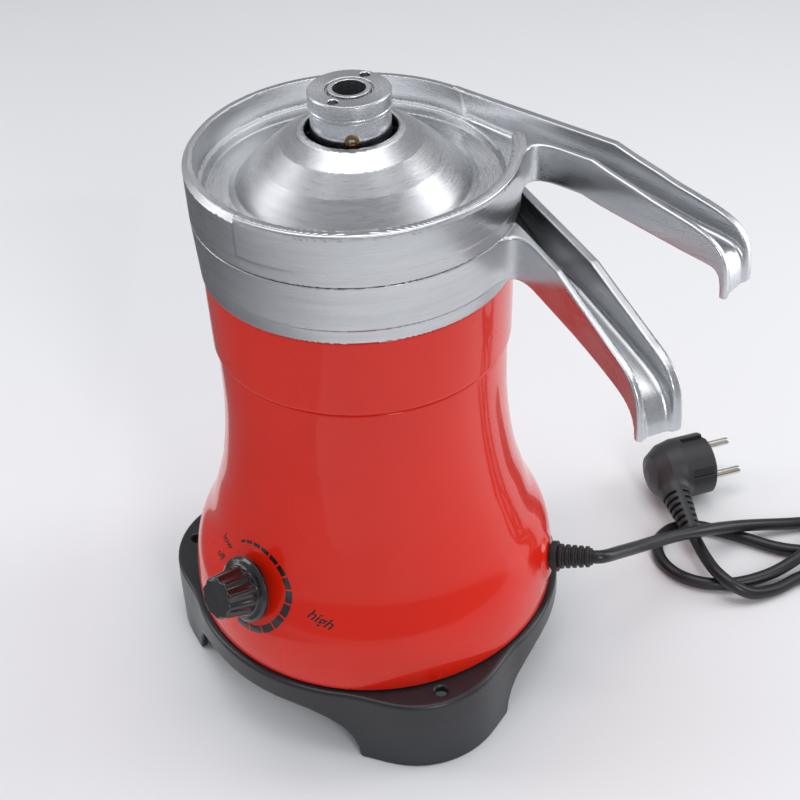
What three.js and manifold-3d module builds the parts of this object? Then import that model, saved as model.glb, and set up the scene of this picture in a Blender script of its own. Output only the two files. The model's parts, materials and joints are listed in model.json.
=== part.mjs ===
// Electric milk cream separator: bell housing on a three-footed base, two aluminium receivers with spouts,
// a spinning bowl on the motor spindle, a speed knob and a mains cord with an angled plug.
// Units: millimetres, +Z up. The spin axis is the line x = y = 0 before the final shift.
import * as THREE from 'three';
import { mergeVertices } from 'three/addons/utils/BufferGeometryUtils.js';
import Module from 'manifold-3d';

const wasm = await Module();
wasm.setup();

// ---------------------------------------------------------------- driving dimensions
const GAP = 0.3;                    // clearance between touching pieces
const ROUND = 36;                   // segments of the large turned pieces
const SMALL = 14;                   // segments of the small turned pieces

const FLOOR_TO_HOUSING = 44.6;      // underside of the housing skirt
const HOUSING_TOP = 239.0;          // rim the skim receiver sits on
const HOUSING_WALL = 2.4;
const DECK_Z = 187.0;               // underside of the deck between motor and bowl chamber
const DECK_THICKNESS = 3.0;
const HOUSING_PROFILE = [           // outer radius at height
  [94.6, 44.6], [94.9, 52], [94.2, 60], [93.3, 67], [91.4, 75], [88.0, 82], [83.8, 90], [81.2, 97.5],
  [79.0, 105], [74.8, 120], [71.5, 140], [69.7, 160], [69.3, 180], [69.5, 197], [70.8, 198.4], [71.2, 201],
  [71.8, 238.2], [71.2, 239],
];

const BASE_TOP = 44.0;
const BASE_BAND = 30.0;             // lower edge of the band between the feet
const BASE_WALL = 4.0;
const BASE_RING_RADIUS = 98.2;
const EAR_RADIUS = 45.75;
const EAR_CENTRE = 64.0;            // ear centre from the spin axis
const EAR_ANGLES = [-73.5, 46.5, 166.5];
const EAR_HOLE_AT = 100.5;
const EAR_HOLE_DIAMETER = 6.0;
const ARCH = [                      // gap between two feet: half width at height
  [57.5, 0], [56.6, 7], [54, 14], [49.5, 20.5], [43, 25.5], [35, 28.8], [26, BASE_BAND],
];
const HOUSING_SCREW_AT = 82.0;      // screws that hold the housing, between the ears
const COVER_SCREW_AT = 72.0;        // screws that hold the bottom cover, under the ears

const SKIM_BOTTOM = 239.3;
const SKIM_TOP = 268.6;
const SKIM_RADIUS = 72.5;
const CREAM_BOTTOM = 268.9;
const CREAM_TOP = 294.0;
const RING_RADIUS = 74.5;           // outer radius at the seam of the two receivers
const RIM_RADIUS = 75.0;
const RIM_INNER = 70.0;
const SPOUT_WALL = 3.2;

const NUT_TOP = 322.0;
const NUT_BOTTOM = 313.9;
const NUT_RADIUS = 18.4;
const NECK_RADIUS = 17.8;
const NECK_TOP = 313.6;
const FEED_BORE = 7.3;
const FEED_TUBE = 9.4;
const CREAM_SCREW_Z = 305.6;
const CREAM_SCREW_ANGLE = -90;
const BOWL_FLOOR = 206.5;

const SHAFT_RADIUS = 5.0;
const MOTOR_Z = 128.0;              // middle of the iron core
const CORE_HEIGHT = 34.0;
const ARMATURE_RADIUS = 21.0;
const BEARING_RADIUS = 11.2;
const BRUSH_Z = 101.5;
const TIE_ROD_AT = 44.0;

const KNOB_POSITION = [-62.5, -61.0, 87.5];
const KNOB_ANGLE = -139;            // plan direction of the knob axis
const KNOB_TILT = 19;
const GLAND_ANGLE = -17;
const GLAND_TILT = 10;
const GLAND_RADIUS = 95.0;
const GLAND_Z = 64.5;

const CORD_RADIUS = 3.5;
const CORD_FLOOR = 3.8;             // height of the cord's centre line where it lies
const COIL_CENTRE = [374, 62];
const COIL_RADIUS = 40;             // middle of the turns
const COIL_HALF_SECTION = [7.2, 7.1];
const COIL_Z = 7.4;

// ---------------------------------------------------------------- materials
function paint(colour, roughness, metalness) {
  return new THREE.MeshStandardMaterial({ color: colour, roughness, metalness });
}
const MAT = {
  red: paint(0xc41e18, 0.22, 0.0),
  charcoal: paint(0x3b3d43, 0.45, 0.0),
  aluminium: paint(0xb4b8bc, 0.38, 0.95),
  steel: paint(0x9a9ea3, 0.3, 1.0),
  brass: paint(0xb08a45, 0.35, 1.0),
  copper: paint(0xb4683c, 0.4, 0.9),
  iron: paint(0x5c5e62, 0.5, 0.9),
  bakelite: paint(0x0d0d0f, 0.18, 0.0),
  rubber: paint(0x1b1b1d, 0.8, 0.0),
  cord: paint(0x161719, 0.42, 0.0),
  nickel: paint(0xd6d2c6, 0.22, 1.0),
  board: paint(0x2f6a3a, 0.6, 0.0),
  carbon: paint(0x2a2a2c, 0.7, 0.1),
  plastic: paint(0xd9d6cc, 0.5, 0.0),
  seal: paint(0xe8e6df, 0.6, 0.0),
};

const group = new THREE.Group();
group.name = 'milk_cream_separator';

// ---------------------------------------------------------------- helpers
const rad = THREE.MathUtils.degToRad;

function toSolid(geometry) {
  const plain = geometry.clone();
  plain.deleteAttribute('normal');
  plain.deleteAttribute('uv');
  const merged = mergeVertices(plain, 1e-4);
  return new wasm.Manifold(new wasm.Mesh({
    numProp: 3,
    vertProperties: new Float32Array(merged.attributes.position.array),
    triVerts: new Uint32Array(merged.index.array),
  }));
}

function toGeometry(solid) {
  const mesh = solid.getMesh();
  const geometry = new THREE.BufferGeometry();
  geometry.setAttribute('position', new THREE.BufferAttribute(new Float32Array(mesh.vertProperties), 3));
  geometry.setIndex(new THREE.BufferAttribute(new Uint32Array(mesh.triVerts), 1));
  const loose = geometry.toNonIndexed();
  loose.computeVertexNormals();
  return loose;
}

function addMesh(name, geometry, material) {
  const mesh = new THREE.Mesh(geometry, material);
  mesh.name = name;
  group.add(mesh);
  return mesh;
}

function addSolid(name, solid, material) {
  return addMesh(name, toGeometry(solid), material);
}

// closed [radius, height] outline turned about Z
function turned(outline, segments = ROUND) {
  const area = outline.reduce((sum, p, i) => {
    const q = outline[(i + 1) % outline.length];
    return sum + p[0] * q[1] - q[0] * p[1];
  }, 0);
  const ordered = area > 0 ? outline : [...outline].reverse();
  const onAxis = ordered.findIndex((p, i) => p[0] === 0 && ordered[(i + 1) % ordered.length][0] !== 0);
  const points = [];
  if (onAxis >= 0) {
    for (let i = 0; i < ordered.length; i += 1) {
      points.push(new THREE.Vector2(...ordered[(onAxis + i) % ordered.length]));
    }
  } else {
    ordered.forEach((p) => points.push(new THREE.Vector2(...p)));
    points.push(new THREE.Vector2(...ordered[0]));
  }
  const geometry = new THREE.LatheGeometry(points, segments);
  geometry.rotateX(Math.PI / 2);
  return toSolid(geometry);
}

function rod(radius, z0, z1, segments = SMALL) {
  return turned([[0, z0], [radius, z0], [radius, z1], [0, z1]], segments);
}

function tube(inner, outer, z0, z1, segments = SMALL) {
  return turned([[inner, z0], [outer, z0], [outer, z1], [inner, z1]], segments);
}

// plan outline raised from z0 to z1
function prism(outline, z0, z1) {
  const shape = new THREE.Shape(outline.map((p) => new THREE.Vector2(...p)));
  const geometry = new THREE.ExtrudeGeometry(shape, { depth: z1 - z0, bevelEnabled: false, steps: 1 });
  geometry.translate(0, 0, z0);
  return toSolid(geometry);
}

function box(size, centre) {
  const geometry = new THREE.BoxGeometry(...size);
  geometry.translate(...centre);
  return toSolid(geometry);
}

// solid whose +Z points along plan angle and elevation, origin moved to a place
function aim(solid, angle, elevation, place) {
  return solid.rotate([0, 90 - elevation, 0]).rotate([0, 0, angle]).translate(place);
}

function polar(radius, angle, z = 0) {
  return [radius * Math.cos(rad(angle)), radius * Math.sin(rad(angle)), z];
}

function arcPoints(centre, radius, from, to, count) {
  const points = [];
  for (let i = 0; i <= count; i += 1) {
    const a = rad(from + (to - from) * i / count);
    points.push([centre[0] + radius * Math.cos(a), centre[1] + radius * Math.sin(a)]);
  }
  return points;
}

function disc(centre, radius, z0, z1, segments = ROUND) {
  return rod(radius, z0, z1, segments).translate([centre[0], centre[1], 0]);
}

function all(solids) {
  return solids.reduce((sum, solid) => sum.add(solid));
}

// ---------------------------------------------------------------- base casting
function baseOutline(inset, z0, z1) {
  const ears = EAR_ANGLES.map((a) => disc(polar(EAR_CENTRE, a), EAR_RADIUS - inset, z0, z1, 36));
  return all([rod(BASE_RING_RADIUS - inset, z0, z1, 48), ...ears]);
}

function archCutter(angle) {
  const outline = [[58, -1], ...ARCH, ...ARCH.map(([t, z]) => [-t, z]).reverse(), [-58, -1]];
  const shape = new THREE.Shape(outline.map((p) => new THREE.Vector2(...p)));
  const geometry = new THREE.ExtrudeGeometry(shape, { depth: 90, bevelEnabled: false, steps: 1 });
  geometry.translate(0, 0, 40);
  geometry.rotateX(Math.PI / 2);
  geometry.rotateZ(rad(angle + 90));
  return toSolid(geometry);
}

// one hole or rod at each of these plan angles
function eachAt(angles, radius, size, z0, z1, segments = 10) {
  return angles.map((a) => disc(polar(radius, a), size, z0, z1, segments));
}

const gapAngles = EAR_ANGLES.map((a) => a + 60);
const earHoles = eachAt(EAR_ANGLES, EAR_HOLE_AT, EAR_HOLE_DIAMETER / 2, 30, 50, 12);
const bosses = eachAt(gapAngles, HOUSING_SCREW_AT, 7, 34.5, 40.5, SMALL);
const bossHoles = eachAt(gapAngles, HOUSING_SCREW_AT, 2.6, 30, 50);
const coverHoles = eachAt(EAR_ANGLES, COVER_SCREW_AT, 2.0, 30, 50);
let base = baseOutline(0, 0, BASE_TOP).subtract(baseOutline(BASE_WALL, -1, BASE_TOP - BASE_WALL));
base = all([base, ...bosses]);
base = base.subtract(rod(68, 30, 50, ROUND));
base = base.subtract(all(gapAngles.map(archCutter)));
base = base.subtract(all([...earHoles, ...bossHoles, ...coverHoles]));
addSolid('base_casting', base, MAT.charcoal);

// ---------------------------------------------------------------- bell housing
const knobDir = new THREE.Vector3(
  Math.cos(rad(KNOB_ANGLE)) * Math.cos(rad(KNOB_TILT)),
  Math.sin(rad(KNOB_ANGLE)) * Math.cos(rad(KNOB_TILT)),
  Math.sin(rad(KNOB_TILT)),
);
const glandPlace = polar(GLAND_RADIUS, GLAND_ANGLE, GLAND_Z);

const INNER_HEIGHTS = [44.6, 60, 75, 90, 105, 120, 140, 160, 180, 198.4];
const innerWall = HOUSING_PROFILE.filter(([, z]) => INNER_HEIGHTS.includes(z))
  .map(([r, z]) => [r - HOUSING_WALL, z]);
const ledge = [[64, DECK_Z - 3.5], [64, DECK_Z - GAP], [66.9, DECK_Z - GAP]];
const housingOutline = [
  ...HOUSING_PROFILE, [69.4, HOUSING_TOP], [69.4, 234.5],
  ...innerWall.filter(([, z]) => z > DECK_Z).reverse(),
  ...ledge.reverse(),
  ...innerWall.filter(([, z]) => z < DECK_Z).reverse(),
];
let housing = turned(housingOutline, 40);
const footLugs = eachAt(gapAngles, HOUSING_SCREW_AT, 6.5, FLOOR_TO_HOUSING, 60, SMALL);
const lugWebs = gapAngles.map((a) => box([13, 6, 15.4], [88.5, 0, 52.3]).rotate([0, 0, a]));
housing = all([housing, ...footLugs, ...lugWebs]);
const lugHoles = eachAt(gapAngles, HOUSING_SCREW_AT, 2.2, 40, 57);
const glandSeat = aim(rod(9.6, -5, 0.9, 16), GLAND_ANGLE, GLAND_TILT, glandPlace);
housing = housing.add(glandSeat);
housing = housing.subtract(all(lugHoles));
housing = housing.subtract(aim(rod(4.2, -15, 15, 16), KNOB_ANGLE, KNOB_TILT, KNOB_POSITION));
housing = housing.subtract(aim(rod(6.4, -15, 15, 16), GLAND_ANGLE, GLAND_TILT, glandPlace));
addSolid('bell_housing', housing, MAT.red);

// deck that carries the motor and catches drips under the bowl
addSolid('motor_deck', turned([
  [20, DECK_Z], [66.2, DECK_Z], [66.2, DECK_Z + DECK_THICKNESS], [24, DECK_Z + DECK_THICKNESS],
  [24, DECK_Z + 6], [20, DECK_Z + 6],
], 40), MAT.aluminium);

// ---------------------------------------------------------------- receivers
// side outlines of a spout: distance along the spout, then height above the receiver's rim
const CREAM_SPOUT = {
  top: [
    [90, 0], [101, -3.3], [112, -6.2], [122, -9.1], [132, -11.4], [142, -13.9], [149.6, -16.8],
    [154.8, -20.4], [158.4, -26], [160.3, -35.5], [160.6, -43.5],
  ],
  under: [
    [159.4, -43.5], [158.6, -36], [157.2, -31.5], [155, -29.6], [137, -27.6], [117, -24.3], [96, -20.8],
  ],
  floor: [
    [88, -15.6], [97, -17.4], [117, -21], [137, -24.4], [152, -26.3], [156.2, -28.6], [158.4, -32.5],
    [159.5, -44.5],
  ],
};
const SKIM_SPOUT = {
  top: [
    [93, 0], [110, -3.3], [127, -6.3], [139, -8.6], [147, -10], [152.6, -11.7], [156.8, -14], [160.3, -17.6],
    [162.6, -22.4], [163.8, -28], [164.4, -33.5], [164.5, -38.6],
  ],
  under: [[163.1, -38.6], [162, -33.5], [159.6, -29], [155.6, -26], [149, -24.2], [133, -22.9], [110, -21.8]],
  floor: [
    [88, -17], [110, -18], [133, -19.3], [148, -20.6], [154, -22.3], [158.4, -25.4], [161.4, -30],
    [163, -35], [163.7, -39.6],
  ],
};

function spoutPrism(outline, front, back, rimZ, angle) {
  const shape = new THREE.Shape(outline.map(([s, z]) => new THREE.Vector2(s, z)));
  const geometry = new THREE.ExtrudeGeometry(shape, { depth: back - front, bevelEnabled: false, steps: 1 });
  geometry.rotateX(Math.PI / 2);
  geometry.translate(0, back, rimZ);
  geometry.rotateZ(rad(angle));
  return toSolid(geometry);
}

const SKIM = { ...SKIM_SPOUT, angle: -70, front: 52.5, back: 73.0, rimZ: SKIM_TOP, root: -22.3 };
const CREAM = { ...CREAM_SPOUT, angle: -43, front: 52.0, back: 74.0, rimZ: CREAM_TOP, root: -18.8 };
const CHANNEL_WALL = 71.5;          // spouts start inside the ring wall, outside this radius
const CHANNEL_OPEN = 61.0;          // the cut that opens the wall into the spout stays outside this radius

// ring with its cone, a tangential spout open on top and a web that rounds the front corner
function makeReceiver(outline, spec) {
  const { angle, front, back, rimZ, root, top, under, floor } = spec;
  const block = [[20, 0], ...top, ...under, [86, root + 0.4], [20, root]];
  const corner = arcPoints([85.5, front - 12], 12, 90, 188, 6);
  const web = prism([[50, front + 3], [85.5, front + 3], ...corner, [56, front - 16], [46, front - 4]],
    rimZ + root, rimZ).rotate([0, 0, angle]);
  const arm = spoutPrism(block, front, back, rimZ, angle).add(web).subtract(rod(CHANNEL_WALL, 200, 400));
  const tip = floor[floor.length - 1][1];
  const channel = [[20, 4], [168, 4], [168, tip], ...[...floor].reverse(), [20, root + SPOUT_WALL]];
  const cut = spoutPrism(channel, front + SPOUT_WALL, back - SPOUT_WALL, rimZ, angle)
    .subtract(rod(CHANNEL_OPEN, 200, 400));
  return turned(outline, 40).add(arm).subtract(cut);
}

// outlines run from the lip down the cone, along the floor, up the wall, over the rim and back beneath
const SKIM_OUTLINE = [
  [27.5, 276.6], [30, 275.4], [38, 266.5], [47, 257.5], [53, 250.6], [56, 248.4], [67.6, 248.4], [69.6, 252],
  [70, SKIM_TOP], [RING_RADIUS, SKIM_TOP], [SKIM_RADIUS, SKIM_BOTTOM], [69.1, SKIM_BOTTOM], [69.1, 235.2],
  [66.6, 235.2], [66.6, 245.4], [54.6, 245.4], [51, 248.8], [44.8, 255.6], [36, 264.6], [28.2, 273.4],
  [26.3, 274.6], [26.3, 276],
];
addSolid('skim_milk_receiver', makeReceiver(SKIM_OUTLINE, SKIM), MAT.aluminium);

const CREAM_OUTLINE = [
  [21.8, 304.4], [24, 303.8], [32, 298.6], [41, 290.8], [49, 282.6], [53, 278.6], [56, 277.4], [66.4, 277.4],
  [67.2, 281.4], [69.2, 282], [RIM_INNER, CREAM_TOP], [RIM_RADIUS - 2.2, CREAM_TOP],
  [RIM_RADIUS, CREAM_TOP - 2.4], [RING_RADIUS, CREAM_BOTTOM], [69.4, CREAM_BOTTOM], [69.4, 265.4],
  [66.8, 265.4], [66.8, 274.4], [54.4, 274.4], [50.8, 277.2], [46.8, 280.6], [38.9, 288.6], [30.2, 296.2],
  [23.4, 300.6], [20.7, 301.6], [20.7, 304],
];
addSolid('cream_receiver', makeReceiver(CREAM_OUTLINE, CREAM), MAT.aluminium);

// ---------------------------------------------------------------- separator bowl
addSolid('bowl_base', turned([
  [0, BOWL_FLOOR], [40, BOWL_FLOOR], [46.4, 210], [46.4, 216], [49.6, 216], [49.6, 204], [46, 197.5],
  [30, 195.5], [15, 195.5], [13, 192], [13, 184], [SHAFT_RADIUS + GAP, 184], [SHAFT_RADIUS + GAP, 203],
  [0, 203],
]), MAT.aluminium);

const feedSlots = [0, 120, 240].map((a) => aim(rod(2, 0, 12, 8), a, 0, [0, 0, 209.4]));
const feedTube = tube(FEED_BORE, FEED_TUBE, BOWL_FLOOR + GAP, NUT_TOP + 0.4, 24);
addSolid('feed_tube', feedTube.subtract(all(feedSlots)), MAT.aluminium);

const hood = turned([
  [NECK_RADIUS, NECK_TOP], [NECK_RADIUS, 272], [24, 267.5], [50, 237], [50, 218.6], [46.6, 218.6],
  [46.6, 236], [22, 264.8], [15.2, 270], [15.2, 298], [13.4, 300], [13.4, NECK_TOP],
]);
const screwHole = aim(rod(3.6, 10, 22, 12), CREAM_SCREW_ANGLE, 0, [0, 0, CREAM_SCREW_Z]);
const skimOutlets = [0, 120, 240].map((a) => aim(rod(1.6, 12, 20, 8), a, 0, [0, 0, 284]));
addSolid('bowl_hood', hood.subtract(all([screwHole, ...skimOutlets])), MAT.aluminium);

const seal = turned([[46.9, 216.3], [49.4, 216.3], [49.4, 218.3], [46.9, 218.3]], 24);
addSolid('bowl_seal_ring', seal, MAT.seal);

const spannerHoles = [-120, 60].map((a) => disc(polar(14.3, a), 2.4, 316, 324, 12));
const nut = turned([
  [FEED_TUBE + GAP, NUT_BOTTOM], [NUT_RADIUS, NUT_BOTTOM], [NUT_RADIUS, NUT_TOP - 0.8],
  [NUT_RADIUS - 0.8, NUT_TOP], [10.6, NUT_TOP], [10.6, NUT_TOP - 1.6], [FEED_TUBE + GAP, NUT_TOP - 1.6],
]);
addSolid('bowl_nut', nut.subtract(all(spannerHoles)), MAT.aluminium);

const screwBody = aim(turned([[0, 14.2], [3.2, 14.2], [3.2, 18.3], [0, 18.3]], 12), CREAM_SCREW_ANGLE, 0,
  [0, 0, CREAM_SCREW_Z]);
const squareSocket = box([2.4, 3, 2.4], [0, -18, CREAM_SCREW_Z]);
addSolid('cream_screw', screwBody.subtract(squareSocket), MAT.brass);

const DISC_COUNT = 7;
const DISC_PITCH = 3.4;
const discHolder = turned([
  [FEED_TUBE + GAP, 212], [12.6, 212], [12.6, 262], [FEED_TUBE + GAP, 262],
], 24).add(turned([[12.4, 212], [41, 212], [41, 213], [15, 217], [12.4, 219]], 24));
addSolid('disc_holder', discHolder, MAT.plastic);
for (let i = 0; i < DISC_COUNT; i += 1) {
  const z = 216.4 + i * DISC_PITCH;
  const last = i === DISC_COUNT - 1;
  const innerR = 13.2;
  const outerR = last ? 42.5 : 40;
  const rise = (outerR - innerR) * 0.9;
  const plate = turned([
    [outerR, z], [outerR, z + 0.9], [innerR, z + 0.9 + rise], [innerR, z + rise],
  ], 24);
  addSolid(last ? 'top_disc' : `separating_disc_${i + 1}`, plate, MAT.aluminium);
}

// ---------------------------------------------------------------- motor
addSolid('motor_shaft', rod(SHAFT_RADIUS, 76, 202.6, 16), MAT.steel);
const ARMATURE_SLOTS = 12;
const armatureSlots = [];
for (let i = 0; i < ARMATURE_SLOTS; i += 1) {
  armatureSlots.push(box([8, 3, 60], [ARMATURE_RADIUS, 0, MOTOR_Z]).rotate([0, 0, i * 360 / ARMATURE_SLOTS]));
}
const armature = tube(SHAFT_RADIUS + GAP, ARMATURE_RADIUS, MOTOR_Z - 18, MOTOR_Z + 18, 24);
addSolid('armature_core', armature.subtract(all(armatureSlots)), MAT.iron);
addSolid('commutator', tube(SHAFT_RADIUS + GAP, 12, BRUSH_Z - 5, BRUSH_Z + 5, 18), MAT.copper);

const FAN_Z = 150.0;
const fanBlades = [];
for (let i = 0; i < 8; i += 1) {
  fanBlades.push(box([20, 1.6, 8.5], [20, 0, FAN_Z + 5.4]).rotate([0, 0, i * 45]));
}
const fanDisc = tube(SHAFT_RADIUS + GAP, 31, FAN_Z, FAN_Z + 1.6, 24);
const fanHub = tube(SHAFT_RADIUS + GAP, 12, FAN_Z, FAN_Z + 9.6, 16);
addSolid('cooling_fan', all([fanDisc, fanHub, ...fanBlades]), MAT.plastic);

// iron yoke with a pole on each side, and a window above and below each pole for its field coil
const POLE_WIDTH = 18.0;
const yoke = box([76, 76, CORE_HEIGHT], [0, 0, MOTOR_Z]).intersect(rod(44, 100, 160, 32));
const bore = rod(ARMATURE_RADIUS + 1.2, 100, 160, 32);
const pole = box([80, POLE_WIDTH, 60], [0, 0, MOTOR_Z]);
const windows = [1, -1].map((side) => box([16, 60, 40], [side * 27, 0, MOTOR_Z])
  .subtract(rod(25, 100, 160, 32)).subtract(pole));
addSolid('stator_core', yoke.subtract(bore).subtract(all(windows)), MAT.iron);

function fieldCoil(side) {
  const across = [19.1, -19.1].map((z) => box([9, 46, 3.5], [side * 30, 0, MOTOR_Z + z]));
  const upright = [18.4, -18.4].map((y) => box([4.5, 9.2, 41.7], [side * 30, y, MOTOR_Z]));
  return all([...across, ...upright]);
}

// flat bar across the motor with a raised ring for the bearing
function bracket(z0) {
  const plate = box([100, 24, 3], [0, 0, z0 + 1.5]);
  const seat = tube(BEARING_RADIUS, BEARING_RADIUS + 3, z0 - 2.4, z0 + 5.6, 20);
  return plate.subtract(rod(BEARING_RADIUS + 1, z0 - 1, z0 + 4, 20)).add(seat);
}

function bearing(z0) {
  return tube(SHAFT_RADIUS + GAP, BEARING_RADIUS - GAP, z0 - 2, z0 + 5.2, 20);
}
const UPPER_BRACKET_Z = 163.0;
const LOWER_BRACKET_Z = 85.0;
addSolid('upper_motor_bracket', bracket(UPPER_BRACKET_Z), MAT.aluminium);
addSolid('lower_motor_bracket', bracket(LOWER_BRACKET_Z), MAT.aluminium);
addSolid('upper_bearing', bearing(UPPER_BRACKET_Z), MAT.steel);
addSolid('lower_bearing', bearing(LOWER_BRACKET_Z), MAT.steel);

for (const side of [1, -1]) {
  const label = side > 0 ? 'right' : 'left';
  const brushAt = [side * 25.4, 0, BRUSH_Z];
  const holder = box([24, 10, 10], brushAt).subtract(box([40, 6.6, 6.6], brushAt));
  addSolid(`field_coil_${label}`, fieldCoil(side), MAT.copper);
  addSolid(`brush_holder_${label}`, holder, MAT.brass);
  addSolid(`carbon_brush_${label}`, box([18, 6, 6], [side * 21.4, 0, BRUSH_Z]), MAT.carbon);
  const tieRod = disc([side * TIE_ROD_AT, 0], 4, LOWER_BRACKET_Z + 3 + GAP, UPPER_BRACKET_Z - GAP, 12);
  const mount = disc([side * TIE_ROD_AT, 0], 8, UPPER_BRACKET_Z + 3 + GAP, DECK_Z - GAP, 16);
  addSolid(`motor_tie_rod_${label}`, tieRod, MAT.steel);
  addSolid(`motor_mount_${label}`, mount, MAT.rubber);
}

// ---------------------------------------------------------------- speed control
const shaftDir = [KNOB_ANGLE, KNOB_TILT];
const knobSkirt = turned([
  [0, 1.2], [15.6, 1.2], [16.5, 2.0], [16.5, 4.2], [15.4, 4.9], [12.6, 5.2], [12.6, 5.6], [0, 5.6],
], 24);
const flutes = [];
for (let i = 0; i < 10; i += 1) {
  flutes.push(disc(polar(14.4, i * 36 + 18), 3.6, 5.8, 30, 8));
}
const knobGrip = turned([[0, 5], [12.2, 5], [10.4, 20.6], [9.6, 21.4], [0, 21.4]], 30).subtract(all(flutes));
const knob = knobSkirt.add(knobGrip).subtract(rod(3.2, 0, 14, 12));
addSolid('speed_knob', aim(knob, ...shaftDir, KNOB_POSITION), MAT.bakelite);
addSolid('control_shaft', aim(rod(2.9, -16, 13.6, 12), ...shaftDir, KNOB_POSITION), MAT.steel);
const control = tube(3.2, 11, -18, -7, 16).add(rod(11, -24, -16.4, 16));
addSolid('speed_control', aim(control, ...shaftDir, KNOB_POSITION), MAT.charcoal);
addSolid('control_board', box([44, 32, 1.6], [30, 30, 62]), MAT.board);
addSolid('terminal_block', box([22, 12, 11], [58, -14, 58]), MAT.plastic);

// ---------------------------------------------------------------- fasteners and bottom cover
gapAngles.forEach((a, i) => {
  const head = disc(polar(HOUSING_SCREW_AT, a), 4.4, 31.2, 34.2, 12);
  const shank = disc(polar(HOUSING_SCREW_AT, a), 1.9, 34, 55, 10);
  addSolid(`housing_screw_${i + 1}`, head.add(shank), MAT.steel);
});
const vents = [];
for (let i = 0; i < 12; i += 1) {
  vents.push(box([26, 5, 6], [42, 0, 39]).rotate([0, 0, i * 30 + 15]));
}
addSolid('bottom_cover', rod(74, 38.1, 39.7, ROUND).subtract(all([...vents, ...coverHoles])), MAT.charcoal);
EAR_ANGLES.forEach((a, i) => {
  const head = disc(polar(COVER_SCREW_AT, a), 3.4, 35.8, 37.8, 12);
  const shank = disc(polar(COVER_SCREW_AT, a), 1.6, 37.4, 43, 10);
  addSolid(`cover_screw_${i + 1}`, head.add(shank), MAT.steel);
});

// ---------------------------------------------------------------- cord gland, cord and plug
const ribs = [0, 1, 2, 3, 4].map((i) => tube(4.3, 6.4 - i * 0.25, 5.2 + i * 3.4, 7.0 + i * 3.4, 12));
const gland = all([
  tube(4.1, 6.1, -12, 3, 12), tube(4.1, 8.0, 1.2, 4.4, 12),
  turned([[4.1, 4], [6.0, 4], [5.0, 22], [4.1, 22]], 12), ...ribs,
]);
addSolid('cord_gland', aim(gland, GLAND_ANGLE, GLAND_TILT, glandPlace), MAT.rubber);

function sweep(points, radius, sides, steps) {
  const path = new THREE.CatmullRomCurve3(points.map((p) => new THREE.Vector3(...p)), false, 'centripetal');
  const ring = [];
  for (let i = 0; i < sides; i += 1) {
    const a = i * 2 * Math.PI / sides;
    ring.push(new THREE.Vector2(radius * Math.cos(a), radius * Math.sin(a)));
  }
  return new THREE.ExtrudeGeometry(new THREE.Shape(ring), { steps, extrudePath: path, bevelEnabled: false });
}

function along(distance) {
  return [
    glandPlace[0] + distance * Math.cos(rad(GLAND_ANGLE)) * Math.cos(rad(GLAND_TILT)),
    glandPlace[1] + distance * Math.sin(rad(GLAND_ANGLE)) * Math.cos(rad(GLAND_TILT)),
    glandPlace[2] + distance * Math.sin(rad(GLAND_TILT)),
  ];
}

const CORD_FROM_MACHINE = [
  along(-14), along(-2), along(12), along(20), along(26), [129.0, -32.0, 67.0], [141.5, -14.5, 56.0],
  [156.0, 5.0, 39.5], [172.0, 22.5, 27.0], [186.0, 31.5, 19.7], [200.0, 38.5, 14.0], [213.0, 43.5, 11.4],
  [226.5, 46.5, 7.5], [240.0, 48.0, CORD_FLOOR + 0.4], [252.0, 48.6, CORD_FLOOR], [270.0, 50.5, CORD_FLOOR],
  [290.0, 56.5, CORD_FLOOR], [309.0, 66.0, CORD_FLOOR], [324.0, 78.5, CORD_FLOOR], [332.0, 88.5, CORD_FLOOR],
];
const CORD_TO_PLUG = [
  [343.5, 20.5, CORD_FLOOR], [327.0, 25.5, CORD_FLOOR], [310.0, 27.0, CORD_FLOOR], [290.0, 25.0, CORD_FLOOR],
  [266.0, 24.5, CORD_FLOOR], [244.0, 26.5, CORD_FLOOR], [230.0, 31.0, CORD_FLOOR], [216.0, 39.0, CORD_FLOOR],
  [202.0, 46.5, CORD_FLOOR], [188.0, 52.0, CORD_FLOOR], [174.0, 50.5, CORD_FLOOR], [164.5, 40.5, CORD_FLOOR],
  [163.5, 27.0, CORD_FLOOR], [170.0, 14.0, CORD_FLOOR], [182.0, 6.0, CORD_FLOOR], [196.0, 3.5, CORD_FLOOR],
  [209.0, 4.2, 4.6], [223.0, 7.0, 7.0], [236.0, 12.5, 10.0], [248.0, 21.0, 11.6], [261.0, 34.0, 11.8],
  [277.0, 46.0, 11.8], [296.0, 49.0, 11.8], [313.0, 40.0, 11.8], [319.0, 24.0, 11.8], [311.0, 9.0, 9.0],
  [294.0, 2.5, 5.2], [275.0, 5.5, CORD_FLOOR], [256.0, 10.5, CORD_FLOOR], [238.0, 5.0, CORD_FLOOR],
  [222.0, -3.0, CORD_FLOOR], [207.5, -6.5, 6.0], [197.0, -3.5, 10.6], [190.5, 5.5, 11.8], [187.2, 17.0, 11.2],
  [185.2, 27.0, 11.4], [183.5, 36.5, 12.4], [182.6, 42.4, 13.3],
];
addMesh('power_cord_machine_side', sweep(CORD_FROM_MACHINE, CORD_RADIUS, 8, 54), MAT.cord);
addMesh('power_cord_plug_side', sweep(CORD_TO_PLUG, CORD_RADIUS, 8, 78), MAT.cord);
const coilPoints = [];
for (let i = 0; i <= 8; i += 1) {
  const a = i * Math.PI / 4;
  coilPoints.push(new THREE.Vector2(
    COIL_RADIUS + COIL_HALF_SECTION[0] * Math.cos(a), COIL_Z + COIL_HALF_SECTION[1] * Math.sin(a),
  ));
}
const coil = new THREE.LatheGeometry(coilPoints, 28);
coil.rotateX(Math.PI / 2);
coil.translate(COIL_CENTRE[0], COIL_CENTRE[1], 0);
addMesh('power_cord_coil', coil, MAT.cord);

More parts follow.
